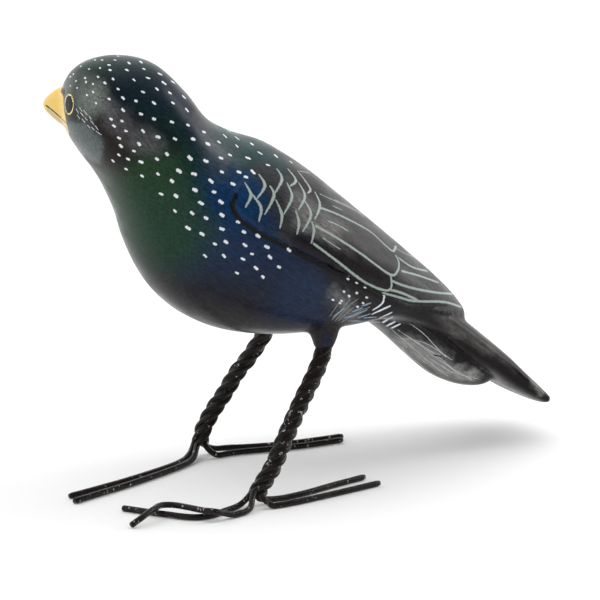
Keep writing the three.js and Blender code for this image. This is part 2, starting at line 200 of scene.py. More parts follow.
# How far the skin is softened. The bill and the tip of the tail stay crisp, the hips are softest.
SKIN_SOFTENING = 7
HIP_SOFTENING = 24
CRISP_SHARE = 0.12
BILL_BOTTOM = 76
TAIL_TIP_START = 74
HIP_DROP = np.array([0, 0, -0.5])
HIP_REACH = 7.0

# Where the photograph was taken from. Paint marks are listed as they show from there, in a
# picture that is PICTURE_WIDTH places wide and high, from its left and top edge.
CAMERA = np.array([-282.9, -566.8, 187.4])
TARGET = np.array([18.6, 0.3, 39.1])
FOCAL = 2827.3
PICTURE_WIDTH = 600
SENSOR_WIDTH = 36


# Form

def unit(vector):
    return vector / np.linalg.norm(vector)


def turned_over(row):
    return np.array([row[2], row[3], row[0], row[1], -row[4], row[5], row[6]])


def station_at(table, along):
    """The loft's row at a part of its length, by a smooth curve through the stations."""
    last = len(table) - 1
    index = min(int(along * last), last - 1)
    before = table[index - 1] if index > 0 else turned_over(table[1])
    after = table[index + 2] if index + 2 <= last else turned_over(table[last - 1])
    a, b = table[index], table[index + 1]
    t = along * last - index
    slope, next_slope = (b - before) / 2, (after - a) / 2
    bend = 3 * (b - a) - 2 * slope - next_slope
    return a + t * (slope + t * (bend + t * (2 * (a - b) + slope + next_slope)))


def skin(rings, start, end):
    """Points and faces of a closed skin over rings, with a point at each end."""
    count = len(rings[0])
    points = np.concatenate([[start], *rings, [end]])
    last = len(points) - 1
    faces = []
    for side in range(count):
        beside = (side + 1) % count
        faces.append((0, 1 + beside, 1 + side))
        tail = 1 + (len(rings) - 1) * count
        faces.append((last, tail + side, tail + beside))
        for ring in range(len(rings) - 1):
            here = 1 + ring * count
            faces.append((here + side, here + beside, here + count + beside, here + count + side))
    return points, faces


def loft(table, ring_count, sides):
    angles = np.arange(sides) / sides * 2 * math.pi
    up, across = np.cos(angles), -np.sin(angles)
    rings = []
    for ring in range(1, ring_count):
        back_x, back_z, belly_x, belly_z, half, shift, corner = station_at(table, ring / ring_count)
        reach = (np.abs(up) ** corner + np.abs(across) ** corner) ** (-1 / corner)
        rings.append(np.stack([
            (back_x + belly_x) / 2 + (back_x - belly_x) / 2 * up * reach,
            shift + half * across * reach,
            (back_z + belly_z) / 2 + (back_z - belly_z) / 2 * up * reach,
        ], -1))
    ends = [np.array([row[0], row[5], row[1]]) for row in (table[0], table[-1])]
    return skin(rings, *ends)


def piece(name, points, faces, scale=1.0):
    data = bpy.data.meshes.new(name)
    data.from_pydata([tuple(p) for p in np.asarray(points) * scale], [], faces)
    data.update()
    made = bpy.data.objects.new(name, data)
    bpy.context.scene.collection.objects.link(made)
    return made


def shaped(obj, kind, **values):
    """Applies one modifier to the object's mesh."""
    change = obj.modifiers.new(kind, kind)
    for key, value in values.items():
        setattr(change, key, value)
    bpy.context.view_layer.update()
    graph = bpy.context.evaluated_depsgraph_get()
    result = bpy.data.meshes.new_from_object(obj.evaluated_get(graph))
    obj.modifiers.clear()
    obj.data = result
    return obj


def cut(obj, tool, how):
    shaped(obj, "BOOLEAN", operation=how, solver="EXACT", object=tool)
    bpy.data.objects.remove(tool)
    return obj


def prism(name, outline, low, high, place):
    """A straight prism over a flat outline; place turns (a, b, depth) into a point."""
    count = len(outline)
    points = [place(a, b, depth) for depth in (low, high) for a, b in outline]
    faces = [tuple(range(count)), tuple(range(2 * count - 1, count - 1, -1))]
    faces += [(k, count + k, count + (k + 1) % count, (k + 1) % count) for k in range(count)]
    made = piece(name, points, faces)
    shaped(made, "TRIANGULATE")
    return made


def even_curve(points, steps):
    """A plain Catmull-Rom curve through flat points."""
    p = np.array([points[0], *points, points[-1]], float)
    curve = []
    for k in range(len(points) - 1):
        a, b, c, d = p[k:k + 4]
        for t in np.arange(steps) / steps:
            slope, nxt = (c - a) / 2, (d - b) / 2
            curve.append(b + t * (slope + t * (3 * (c - b) - 2 * slope - nxt
                                               + t * (2 * (b - c) + slope + nxt))))
    curve.append(p[-1])
    return curve


def wings():
    made = piece("wings", *loft(WING_STATIONS, *WING_FINENESS))
    outline = even_curve([WING_START, *WING_EDGE], 6) + [np.array(p) for p in WING_BEYOND]
    cutter = prism("outline", outline, -WING_HALF_SPAN, WING_HALF_SPAN, lambda a, b, y: (a, y, b))
    made = cut(made, cutter, "INTERSECT")
    cos, sin = math.cos(NOTCH_SLOPE), math.sin(NOTCH_SLOPE)
    wedge = [(-NOTCH_LENGTH, 0), (0, -NOTCH_WIDTH / 2), (0, NOTCH_WIDTH / 2)]
    half = NOTCH_DEPTH / 2
    return cut(made, prism("notch", wedge, -half, half, lambda a, b, d: (
        NOTCH_END[0] + a * cos + d * sin, b, NOTCH_END[1] - a * sin + d * cos)), "DIFFERENCE")


def beak():
    line = BEAK_TIP - BEAK_ROOT
    across = unit(np.cross([0, 0, 1], line))
    up = unit(np.cross(line, across))
    angles = np.arange(BEAK_SIDES) / BEAK_SIDES * 2 * math.pi
    rings = []
    for along in 1 - (1 - np.arange(BEAK_RINGS) / BEAK_RINGS) ** BEAK_CROWDING:
        taper = (1 - along) ** BEAK_TAPER
        centre = BEAK_ROOT + line * along + up * BEAK_DROOP * along * (1 - along)
        rings.append(centre + np.outer(np.cos(angles), up) * BEAK_HALF_HEIGHT * taper
                     - np.outer(np.sin(angles), across) * BEAK_HALF_WIDTH * taper)
    return piece("beak", *skin(rings, BEAK_ROOT, BEAK_TIP))


def tube(path, radii, sides, start_normal=(0, 0, 1)):
    """A round tube along a path, with its own radius at each point of it."""
    path = np.asarray(path, float)
    normal = np.array(start_normal, float)
    angles = np.arange(sides) / sides * 2 * math.pi
    rings = []
    for index, spot in enumerate(path):
        line = unit(path[min(index + 1, len(path) - 1)] - path[max(index - 1, 0)])
        normal = unit(normal - line * normal.dot(line))
        beside = np.cross(line, normal)
        rings.append(spot + (np.outer(np.cos(angles), normal)
                             + np.outer(np.sin(angles), beside)) * radii[index])
    return skin(rings, path[0], path[-1])


def thigh(leg):
    hip, end = np.array(leg["hip"]), np.array(leg["thigh_end"])
    out = unit(end - hip)
    steps = np.linspace(-THIGH_LENGTH, 0, THIGH_RINGS)
    radii = [THIGH_RADIUS * (1 + (THIGH_FLARE - 1) * -step / THIGH_LENGTH)
             - (THIGH_RADIUS - BUNDLE_RADIUS) * max(0, 1 + step / THIGH_LIP) ** 1.5 for step in steps]
    return piece("thigh", *tube([end + out * step for step in steps], radii, THIGH_SIDES, (1, 0, 0)))


def joined(objects):
    """One mesh of several."""
    points, faces = [], []
    for obj in objects:
        start = len(points)
        points += [tuple(v.co) for v in obj.data.vertices]
        faces += [tuple(start + k for k in f.vertices) for f in obj.data.polygons]
        bpy.data.objects.remove(obj)
    return piece("joined", points, faces)


def clay():
    parts = [piece("body", *loft(BODY_STATIONS, *BODY_FINENESS)), wings(),
             piece("undertail", *loft(UNDERTAIL_STATIONS, *UNDERTAIL_FINENESS)), beak()]
    parts += [thigh(leg) for leg in LEGS.values()]
    made = joined(parts)
    shaped(made, "REMESH", mode="VOXEL", voxel_size=SKIN_STEP, adaptivity=0.0)
    points = np.array([v.co for v in made.data.vertices])
    group = made.vertex_groups.new(name="soft")
    out = (points - BEAK_ROOT) @ unit(BEAK_TIP - BEAK_ROOT)
    bill = (out > BEAK_BASE) & (points[:, 2] > BILL_BOTTOM)
    hard = bill | (points[:, 0] > TAIL_TIP_START)
    group.add([int(k) for k in np.flatnonzero(~hard)], 1.0, "REPLACE")
    group.add([int(k) for k in np.flatnonzero(hard)], CRISP_SHARE, "REPLACE")
    shaped(made, "SMOOTH", factor=0.5, iterations=SKIN_SOFTENING, vertex_group="soft")
    hips = made.vertex_groups.new(name="hips")
    for leg in LEGS.values():
        away = np.linalg.norm(points - (np.array(leg["hip"]) + HIP_DROP), axis=1)
        hips.add([int(k) for k in np.flatnonzero(away < HIP_REACH)], 1.0, "REPLACE")
    shaped(made, "SMOOTH", factor=0.5, iterations=HIP_SOFTENING, vertex_group="hips")
    return made


# Paint marks

LOOK = unit(TARGET - CAMERA)
RIGHT = unit(np.cross(LOOK, [0, 0, 1]))
UP = np.cross(RIGHT, LOOK)

BLACK, PALE_BLUE, GREY_GREEN, BONE, CREAM, WHITE = 0.0, 0.2, 0.4, 0.6, 0.8, 1.0

# White dots, row by row from the crown over the neck and the mantle to the shoulder and flank.
DOT_ROWS = [
    [(95, 60), (102, 60), (115, 60), (118, 56), (109, 65), (129, 63), (141, 62)],
    [(89, 69), (100, 68), (110, 70), (127, 70), (144, 69), (160, 74), (173, 82)],
    [(85, 78), (98, 77), (113, 79), (134, 80), (148, 78), (164, 83), (184, 97)],
    [(76, 81), (86, 82), (93, 84), (105, 83), (118, 89), (143, 92), (157, 89), (170, 93)],
    [(77, 88), (93, 92), (109, 99), (123, 98), (136, 101), (154, 103), (173, 103), (187, 110)],
    [(87, 95), (96, 103), (123, 110), (141, 114), (154, 119), (172, 122), (188, 125), (204, 132)],
    [(111, 119), (122, 121), (143, 131), (158, 137), (175, 139), (193, 139), (208, 144), (219, 142)],
    [(114, 126), (126, 131), (139, 144), (167, 154), (190, 158), (206, 161), (221, 158), (230, 155)],
    [(119, 138), (121, 146), (134, 151), (157, 159), (179, 171), (194, 174), (211, 181), (233, 184)],
    [(119, 155), (128, 159), (141, 162), (158, 174), (172, 181), (195, 190), (214, 192), (221, 202)],
    [(113, 161), (126, 169), (142, 176), (161, 194), (176, 196), (201, 203), (222, 215), (238, 222)],
    [(175, 211), (192, 213), (206, 218), (222, 229), (244, 232), (258, 236)],
    [(188, 228), (202, 234), (226, 242), (245, 245), (267, 247), (289, 250)],
    [(215, 244), (252, 254), (270, 257)],
    [(205, 256), (224, 256), (243, 259), (256, 268), (279, 267)],
    [(237, 273), (263, 277)],
    [(222, 172), (239, 172), (253, 172), (268, 165), (246, 177)],
    [(225, 136), (237, 146), (248, 158)],
    [(229, 131), (237, 138), (252, 144), (260, 153), (276, 156), (291, 162)],
]

# Feather marks of the wing, each as the points that it runs through.
SCALLOPS = [
    [(245, 183), (251, 195), (245.5, 207)], [(259, 174.5), (265, 185.5), (257.5, 198)],
    [(252, 194), (261, 207.5), (259, 221)], [(270, 186), (274, 196), (265, 214)],
    [(277, 169), (282, 179), (275, 193)], [(276, 200), (282, 215), (280, 228)],
    [(287, 183), (292, 197), (284, 214)], [(288, 169), (296, 180), (290.5, 186)],
    [(299, 183), (305, 196), (299, 209)], [(296, 211), (299, 223), (297, 234)],
    [(305, 201), (311, 215), (303, 231)], [(298, 171), (310, 188), (308, 193)],
    [(315, 192), (320, 205), (315, 219)], [(312, 222), (314, 231), (311.5, 243)],
]
FEATHER_LINES = [
    [(319.5, 207.5), (337, 214), (368, 230), (385, 245), (393, 251), (396, 246)],
    [(316, 226), (337, 238), (360, 253), (389, 274), (397, 272), (399, 263), (396, 256)],
    [(314, 244), (337, 261), (363, 281), (383, 290), (391, 288), (391, 276)],
    [(399, 258), (412, 267), (427, 271)],
    [(402, 271), (420, 276), (438, 282.5)],
    [(392, 281), (405, 286), (421, 290), (440, 293), (452, 294), (460, 298)],
    [(391, 290), (402, 293), (417, 300)],
    [(383, 293), (398, 297), (414, 301), (444, 302), (461, 307)],
]
THIN_LINES = [
    [(328, 221), (338, 225), (348, 231)], [(323, 238), (332, 244), (340, 249)],
    [(320, 194), (333, 200), (349, 207.5), (368, 217)], [(300, 171), (309, 173)],
    [(333, 206), (342, 210)], [(335, 200), (352, 208), (364, 217)],
    [(396, 248), (404, 253), (414, 257)],
]
SHOULDER_SHADOW = [(329, 265), (336, 270), (344, 273)]
TIP_SHADOW = [(414, 302.5), (430, 304.5), (447, 305)]

# The face.
THROAT_STREAKS = [
    [(76.2, 108.8), (78.8, 113.8)], [(79.5, 107.5), (82, 111.2)], [(77, 115), (80, 118.8)],
    [(80.5, 112.5), (83.6, 116.5)], [(82, 118.8), (85, 122.5)], [(83.5, 110), (87.5, 115.2)],
    [(85, 117.4), (87.5, 120.4)], [(89, 116), (91, 119)], [(87.5, 125.5), (90, 127.6)],
    [(90.8, 120.6), (93.8, 124.6)], [(91.4, 127), (94.6, 130)], [(95.2, 126), (98.4, 130)],
    [(96.4, 131.4), (101.2, 134.6)],
]
EYE = (69.0, 104.4)
EYE_HALF_WIDTH = 4.1
EYE_HALF_HEIGHT = 9.6
EYE_POINTS = 24
PUPIL_PARTS = (0.35, 0.7)
MOUTH_LINE = [(46, 105.5), (52, 110), (60, 117), (68, 125)]
LOWER_BILL = [(48, 110), (56, 117.5), (62, 123), (68, 130)]
NOSTRIL = [(61.5, 89.5), (64, 93)]

# Marks round the vent and on the tail.
VENT_DABS = [
    [(384, 295), (384, 298), (381.7, 304), (373, 310)], [(372.5, 314), (390, 306)],
    [(380, 318), (391.7, 312.5)], [(382.5, 322.5), (393, 316.7)], [(386.7, 326), (395, 321.7)],
    [(391.7, 328), (400, 324)],
]
VENT_STREAKS = [
    [(350, 317), (366.7, 310)], [(358, 318), (370, 314)], [(345, 318), (355, 315)],
    [(352, 312), (362, 308)], [(333, 317), (345, 308)], [(348, 321), (362, 321)],
    [(362, 306), (371, 303)], [(364, 318), (376, 317)], [(368, 322), (380, 322)],
]
VENT_HAIRS = [
    [(332, 320), (343, 308), (350, 299)], [(335, 321), (349, 306), (358, 299)],
    [(338, 321), (354, 307)], [(330, 316), (338, 304)], [(342, 322), (358, 312), (370, 307)],
]
VENT_DOTS = [(348, 279), (356.7, 283), (365, 287.5), (356.7, 293), (349, 296), (366.7, 297.5),
             (341.7, 301), (363, 303), (357.5, 306.7), (344, 291.7), (333, 300), (340, 303)]
# Painted shade: a dark line in the groove between the tail's edge and the lobe under it.
TAIL_GROOVE_SHADE = [(404, 312), (420, 323), (440, 338), (462, 355), (486, 374)]
TAIL_FLECK = [(434, 355), (441, 356.5)]
TAIL_LINES = [
    [(409, 323), (424, 334), (436, 347), (446, 357)], [(398, 330), (420, 345), (445, 364), (472, 380)],
    [(390, 328), (412, 347), (434, 366), (448, 376)], [(400, 338), (425, 343), (452, 360)],
    [(396, 345), (417, 362), (438, 378)], [(430, 358), (452, 372), (478, 379)],
    [(404, 334), (432, 352), (456, 372)],
]

# Half widths of the brushes in mm.
EDGE_SHADOW_BRUSH = 0.5
SHOULDER_BRUSH = 0.75
TIP_BRUSH = 0.45
SCALLOP_BRUSH = 0.36
FEATHER_BRUSH = 0.27
THIN_BRUSH = 0.12
TAIL_LINE_BRUSH = 0.06
GROOVE_SHADE_BRUSH = 0.3
FLECK_BRUSH = 0.2
HAIR_BRUSH = 0.07
VENT_STREAK_BRUSH = 0.22
VENT_DAB_BRUSH = 0.26
VENT_DOT_BRUSH = 0.2
VENT_DOT_REACH = (0.6, 0.4)
PUPIL_BRUSH = 0.5
RING_BRUSH = 0.18
NOSTRIL_BRUSH = 0.6
LOWER_BILL_BRUSH = 0.45
MOUTH_BRUSH = 0.18

# The painted shadow line lies this far from the wing's edge.
EDGE_OFFSET = (-0.3, -0.7)

# Dots are small on the face and grow away from it. Those low on the flank are a little smaller.
FACE_EDGE = 70
DOT_GROWTH = 90
FLANK_TOP = 245
FLANK_SHARE = 0.85
DOT_RADIUS = (0.15, 0.17)
DOT_REACH = (0.25, 1.1)
DOT_RADIUS_SPREAD = (0.8, 1.15)
DOT_REACH_SPREAD = (0.6, 1.3)
DOT_SLANT = (15, 50)

# The planes about which marks are mirrored: one for the head, one for the rest.
HEAD_CORNER = (190, 135)
HEAD_PLANE = 2.0
BODY_PLANE = 0.5
MIRROR_GAP = 1.5
MIRROR = np.array([1, -1, 1])
MIRROR_REACH = 6.0
BESIDE_START = 60
BILL_CLEARANCE = 9.5

# Strokes that each face knows, and how many faces are looked at together.
STROKE_LAYERS = 3
FACES_AT_ONCE = 4000


def view_ray(u, v):
    middle = PICTURE_WIDTH / 2
    return unit(LOOK + RIGHT * (u - middle) / FOCAL - UP * (v - middle) / FOCAL)


class Surface:
    """The clay skin as paint finds it."""

    def __init__(self, obj):
        self.tree = BVHTree.FromPolygons([v.co for v in obj.data.vertices],
                                         [tuple(f.vertices) for f in obj.data.polygons])

    def seen(self, u, v):
        hit = self.tree.ray_cast(Vector(CAMERA), Vector(view_ray(u, v)))[0]
        return None if hit is None else np.array(hit)

    def beside(self, x, z, side):
        """The place that shows at x and z from the left (-1) or the right (1)."""
        start = Vector((x, BESIDE_START * side, z))
        hit = self.tree.ray_cast(start, Vector((0, -side, 0)))[0]
        return None if hit is None else np.array(hit)

    def snapped(self, spot, reach=4.0):
        found = self.tree.find_nearest(Vector(spot), reach)[0]
        return None if found is None else np.array(found)


class Paint:
    """Strokes laid on the skin: ends, half width, tone and softness, later ones on top."""

    def __init__(self, surface):
        self.surface = surface
        self.rows = []

    def line(self, spots, tone, radius, soft=0.1):
        spots = [spot for spot in spots if spot is not None]
        for start, end in zip(spots, spots[1:]):
            self.rows.append((*start, *end, radius, tone, soft))

    def stroke(self, points, tone, radius, soft=0.1, mirrored=True, taper=0.0):
        """A stroke through points of the picture, and its mirror image on the other side."""
        curve = even_curve(points, CURVE_STEPS)
        spots = [self.surface.seen(*p) for p in curve]
        sides = [spots]
        if mirrored:
            sides.append([None if s is None else self.surface.snapped(s * MIRROR, MIRROR_REACH)
                          for s in spots])
        for side in sides:
            side = [s for s in side if s is not None]
            for k in range(len(side) - 1):
                width = radius * (1 - taper * abs(2 * (k + 0.5) / (len(side) - 1) - 1))
                self.line(side[k:k + 2], tone, width, soft)


def off_bill(spot):
    return np.linalg.norm(spot - BILL_PATCH[0]) > BILL_CLEARANCE


def lay_dots(paint):
    for row in DOT_ROWS:
        for u, v in row:
            size = min(max((u - FACE_EDGE) / DOT_GROWTH, 0), 1) * (1 if v < FLANK_TOP else FLANK_SHARE)
            radius = (DOT_RADIUS[0] + DOT_RADIUS[1] * size) * rng.uniform(*DOT_RADIUS_SPREAD)
            reach = (DOT_REACH[0] + DOT_REACH[1] * size) * rng.uniform(*DOT_REACH_SPREAD)
            steep = math.radians(rng.uniform(*DOT_SLANT))
            across, down = reach * math.cos(steep), reach * math.sin(steep)
            ends = [(u - across, v - down), (u + across, v + down)]
            spots = [paint.surface.seen(*end) for end in ends]
            if any(spot is None for spot in spots):
                spots = [paint.surface.seen(u, v)] * 2
            if any(spot is None for spot in spots):
                continue
            paint.line(spots, WHITE, radius)
            middle = HEAD_PLANE if u < HEAD_CORNER[0] and v < HEAD_CORNER[1] else BODY_PLANE
            if spots[0][1] > middle - MIRROR_GAP:
                continue
            other = [paint.surface.snapped(spot * MIRROR + (0, 2 * middle, 0)) for spot in spots]
            if all(spot is not None and off_bill(spot) for spot in other):
                paint.line(other, WHITE, radius)


def lay_wing(paint):
    out, up = EDGE_OFFSET
    # Painted shadow: a black line just under the wing's edge, on both sides.
    edge_shadow_line = even_curve([(x + out, z + up) for x, z in WING_EDGE[2:13]], 4)
    for side in (-1, 1):
        line = [paint.surface.beside(x, z, side) for x, z in edge_shadow_line]
        paint.line(line, BLACK, EDGE_SHADOW_BRUSH, 0.4)
    paint.stroke(SHOULDER_SHADOW, BLACK, SHOULDER_BRUSH, soft=0.3)
    paint.stroke(TIP_SHADOW, BLACK, TIP_BRUSH, soft=0.25)
    for points in SCALLOPS:
        paint.stroke(points, GREY_GREEN, SCALLOP_BRUSH, taper=0.6)
    for points in FEATHER_LINES:
        paint.stroke(points, GREY_GREEN, FEATHER_BRUSH)
    for points in THIN_LINES:
        paint.stroke(points, GREY_GREEN, THIN_BRUSH)


def lay_tail(paint):
    for points in TAIL_LINES:
        paint.stroke(points, WHITE, TAIL_LINE_BRUSH, soft=0.07)
    # Painted shade in the groove under the tail's edge.
    paint.stroke(TAIL_GROOVE_SHADE, BLACK, GROOVE_SHADE_BRUSH, soft=0.45)
    paint.stroke(TAIL_FLECK, BLACK, FLECK_BRUSH)
    for points in VENT_HAIRS:
        paint.stroke(points, GREY_GREEN, HAIR_BRUSH, soft=0.08)
    for points in VENT_STREAKS:
        paint.stroke(points, PALE_BLUE, VENT_STREAK_BRUSH, taper=0.5)
    for points in VENT_DABS:
        paint.stroke(points, WHITE, VENT_DAB_BRUSH, taper=0.3)
    across, down = VENT_DOT_REACH
    for u, v in VENT_DOTS:
        paint.stroke([(u - across, v - down), (u + across, v + down)], WHITE, VENT_DOT_BRUSH)


def lay_eye(paint, ring):
    """A dark pupil inside a pale ring of places on the skin."""
    middle = sum(ring[1:]) / (len(ring) - 1)
    for part in PUPIL_PARTS:
        inner = [paint.surface.snapped(middle + (spot - middle) * part) for spot in ring]
        paint.line(inner, BLACK, PUPIL_BRUSH)
    paint.line(ring, CREAM, RING_BRUSH)


def beyond_bill(spot):
    """The same place on the other side of the bill."""
    ahead = unit((BEAK_TIP - HEAD_MIDDLE) * (1, 1, 0))
    out = spot - HEAD_MIDDLE
    return HEAD_MIDDLE + 2 * out.dot(ahead) * ahead - out * (1, 1, -1)


def lay_bill(paint, points, tone, radius, soft):
    """A stroke on the bill that shows, and the same on its other side."""
    spots = [paint.surface.seen(*point) for point in even_curve(points, CURVE_STEPS)]
    spots = [spot for spot in spots if spot is not None]
    paint.line(spots, tone, radius, soft)
    paint.line([paint.surface.snapped(beyond_bill(spot), 3.0) for spot in spots], tone, radius, soft)


def lay_face(paint):
    """The face looks ahead and to the bird's right. Its second eye mirrors the one that shows."""
    lay_bill(paint, NOSTRIL, BLACK, NOSTRIL_BRUSH, 0.2)
    lay_bill(paint, LOWER_BILL, BONE, LOWER_BILL_BRUSH, 0.25)
    lay_bill(paint, MOUTH_LINE, BLACK, MOUTH_BRUSH, 0.07)
    for points in THROAT_STREAKS:
        paint.stroke(points, WHITE, HAIR_BRUSH, soft=0.06, mirrored=False)
    angles = [k / EYE_POINTS * 2 * math.pi for k in range(EYE_POINTS + 1)]
    ring = [paint.surface.seen(EYE[0] + EYE_HALF_WIDTH * math.cos(a),
                               EYE[1] + EYE_HALF_HEIGHT * math.sin(a)) for a in angles]
    lay_eye(paint, ring)
    lay_eye(paint, [paint.surface.snapped(beyond_bill(spot), 9.0) for spot in ring])


def record(obj, rows):
    """Gives each face the three strokes nearest to it, in the order they were laid."""
    rows = np.array(rows)
    start, end, radius = rows[:, 0:3], rows[:, 3:6], rows[:, 6]
    along = end - start
    square = np.maximum((along ** 2).sum(1), 1e-9)
    count = len(obj.data.polygons)
    centres = np.empty(count * 3)
    obj.data.polygons.foreach_get("center", centres)
    centres = centres.reshape(-1, 3)
    nearest = np.empty((count, STROKE_LAYERS), int)
    for low in range(0, count, FACES_AT_ONCE):
        high = low + FACES_AT_ONCE
        spot = centres[low:high, None, :]
        part = np.clip(((spot - start) * along).sum(2) / square, 0, 1)
        away = np.linalg.norm(spot - start - part[..., None] * along, axis=2) - radius
        closest = np.argpartition(away, STROKE_LAYERS, axis=1)[:, :STROKE_LAYERS]
        nearest[low:high] = np.sort(closest, axis=1)
    for layer in range(STROKE_LAYERS):
        chosen = nearest[:, layer]
        for name, values in (("start", start + SHIFT), ("end", end + SHIFT), ("look", rows[:, 6:9])):
            store = obj.data.attributes.new(f"stroke_{name}_{layer + 1}", "FLOAT_VECTOR", "FACE")
            store.data.foreach_set("vector", values[chosen].astype(np.float32).ravel())


# Node helpers

class Graph:
    """Short ways to add and join nodes in one tree."""

    def __init__(self, tree):
        self.tree = tree

    def add(self, kind, **settings):
        node = self.tree.nodes.new(kind)
        for key, value in settings.items():
            setattr(node, key, value)
        return node

    def feed(self, socket, value):
        if isinstance(value, bpy.types.NodeSocket):
            self.tree.links.new(value, socket)
        else:
            socket.default_value = value

    def math(self, operation, a, b=0.0, clamp=False):
        node = self.add("ShaderNodeMath", operation=operation, use_clamp=clamp)
        self.feed(node.inputs[0], a)
        self.feed(node.inputs[1], b)
        return node.outputs[0]

    def vector(self, operation, a, b=None, scale=None):
        node = self.add("ShaderNodeVectorMath", operation=operation)
        self.feed(node.inputs[0], a)
        if b is not None:
            self.feed(node.inputs[1], b)
        if scale is not None:
            self.feed(node.inputs["Scale"], scale)
        return node.outputs["Value" if operation in ("LENGTH", "DOT_PRODUCT") else "Vector"]

    def ramp(self, value, low, high, to_low, to_high):
        node = self.add("ShaderNodeMapRange", interpolation_type="SMOOTHSTEP")
        for key, entry in (("Value", value), ("From Min", low), ("From Max", high),
                           ("To Min", to_low), ("To Max", to_high)):
            self.feed(node.inputs[key], entry)
        return node.outputs["Result"]

    def noise(self, vector, scale, detail=3.0, rough=0.5):
        node = self.add("ShaderNodeTexNoise")
        self.feed(node.inputs["Vector"], vector)
        self.feed(node.inputs["Scale"], scale)
        self.feed(node.inputs["Detail"], detail)
        self.feed(node.inputs["Roughness"], rough)
        return node

    def mix(self, part, a, b, how="MIX"):
        node = self.add("ShaderNodeMix", data_type="RGBA", blend_type=how)
        self.feed(node.inputs["Factor"], part)
        self.feed(node.inputs["A"], a)
        self.feed(node.inputs["B"], b)
        return node.outputs["Result"]

    def group(self, tree, **inputs):
        node = self.add("ShaderNodeGroup", node_tree=tree)
        for key, value in inputs.items():
            self.feed(node.inputs[key.replace("_", " ")], value)
        return node.outputs


def new_group(name, inputs, outputs):
    tree = bpy.data.node_groups.new(name, "ShaderNodeTree")
    for label, kind, value in inputs:
        socket = tree.interface.new_socket(label, in_out="INPUT", socket_type=kind)
        if value is not None:
            socket.default_value = value
    for label, kind in outputs:
        tree.interface.new_socket(label, in_out="OUTPUT", socket_type=kind)
    start, end = tree.nodes.new("NodeGroupInput"), tree.nodes.new("NodeGroupOutput")
    return tree, Graph(tree), start.outputs, end.inputs


NUMBER, SPOT, SHADE = "NodeSocketFloat", "NodeSocketVector", "NodeSocketColor"

WIRE_BLACK = (0.002, 0.0015, 0.0012, 1)
WIRE_WORN = (0.016, 0.012, 0.010, 1)
BARE_METAL = (0.36, 0.35, 0.33, 1)
BASE_BLACK = (0.005, 0.004, 0.005, 1)
BASE_BROWN = (0.030, 0.026, 0.027, 1)
BILL_YELLOW = (0.80, 0.56, 0.17, 1)

# The colour of each tone, from the tone at which it starts.
TONE_COLOURS = [
    (0.0, (0.003, 0.003, 0.004, 1)),
    (0.1, (0.26, 0.36, 0.46, 1)),
    (0.3, (0.34, 0.40, 0.37, 1)),
    (0.5, (0.50, 0.44, 0.36, 1)),
    (0.7, (0.86, 0.72, 0.30, 1)),
    (0.9, (0.78, 0.82, 0.86, 1)),
]
BRUSH_SLOPE = -0.62
BRUSH_STRETCH = (0.5, 2.2, 2.2)
NODE_MIDDLE = (0.5, 0.5, 0.5)


def away_from_line(g, position, start, end):
    """How far a spot is from the straight line between two ends."""
    along = g.vector("SUBTRACT", end, start)
    spot = g.vector("SUBTRACT", position, start)
    length = g.math("MAXIMUM", g.vector("DOT_PRODUCT", along, along), 1e-6)
    part = g.math("DIVIDE", g.vector("DOT_PRODUCT", spot, along), length, clamp=True)
    return g.vector("LENGTH", g.vector("SUBTRACT", spot, g.vector("SCALE", along, scale=part)))


def stroke_group():
    """How much of a spot is under one painted stroke."""
    tree, g, given, out = new_group(
        "painted stroke",
        [("Position", SPOT, None), ("Start", SPOT, None), ("End", SPOT, None),
         ("Look", SPOT, None)],
        [("Mask", NUMBER), ("Tone", NUMBER)])
    away = away_from_line(g, given["Position"], given["Start"], given["End"])
    look = g.add("ShaderNodeSeparateXYZ")
    g.feed(look.inputs[0], given["Look"])
    radius, tone, soft = look.outputs
    mask = g.ramp(away, g.math("SUBTRACT", radius, soft), g.math("ADD", radius, soft), 1.0, 0.0)
    g.feed(out["Mask"], mask)
    g.feed(out["Tone"], tone)
    return tree


def patch_group():
    """A soft oval of colour laid over what is under it."""
    tree, g, given, out = new_group(
        "soft patch",
        [("Under", SHADE, (0, 0, 0, 1)), ("Colour", SHADE, (1, 1, 1, 1)), ("Position", SPOT, None),
         ("Centre", SPOT, None), ("Radii", SPOT, (10, 10, 10)), ("Softness", NUMBER, 0.4),
         ("Strength", NUMBER, 1.0)],
        [("Colour", SHADE)])
    away = g.vector("DIVIDE", g.vector("SUBTRACT", given["Position"], given["Centre"]), given["Radii"])
    distance = g.vector("LENGTH", away)
    inner = g.math("SUBTRACT", 1.0, given["Softness"])
    outer = g.math("ADD", 1.0, given["Softness"])
    mask = g.math("MULTIPLY", g.ramp(distance, inner, outer, 1.0, 0.0), given["Strength"])
    g.feed(out["Colour"], g.mix(mask, given["Under"], given["Colour"]))
    return tree


def band_group():
    """A soft long band of colour laid over what is under it."""
    tree, g, given, out = new_group(
        "soft band",
        [("Under", SHADE, (0, 0, 0, 1)), ("Colour", SHADE, (1, 1, 1, 1)), ("Position", SPOT, None),
         ("Start", SPOT, None), ("End", SPOT, None), ("Half width", NUMBER, 3.0),
         ("Softness", NUMBER, 1.0), ("Strength", NUMBER, 1.0)],
        [("Colour", SHADE)])
    away = away_from_line(g, given["Position"], given["Start"], given["End"])
    inner = g.math("SUBTRACT", given["Half width"], given["Softness"])
    outer = g.math("ADD", given["Half width"], given["Softness"])
    mask = g.math("MULTIPLY", g.ramp(away, inner, outer, 1.0, 0.0), given["Strength"])
    g.feed(out["Colour"], g.mix(mask, given["Under"], given["Colour"]))
    return tree


def new_material(name):
    material = bpy.data.materials.new(name)
    material.use_nodes = True
    shader = material.node_tree.nodes["Principled BSDF"]
    return material, Graph(material.node_tree), shader.inputs


def millimetres(g):
    """The place on the object, in millimetres of the frame."""
    return g.vector("SCALE", g.add("ShaderNodeTexCoord").outputs["Object"], scale=1 / MM)


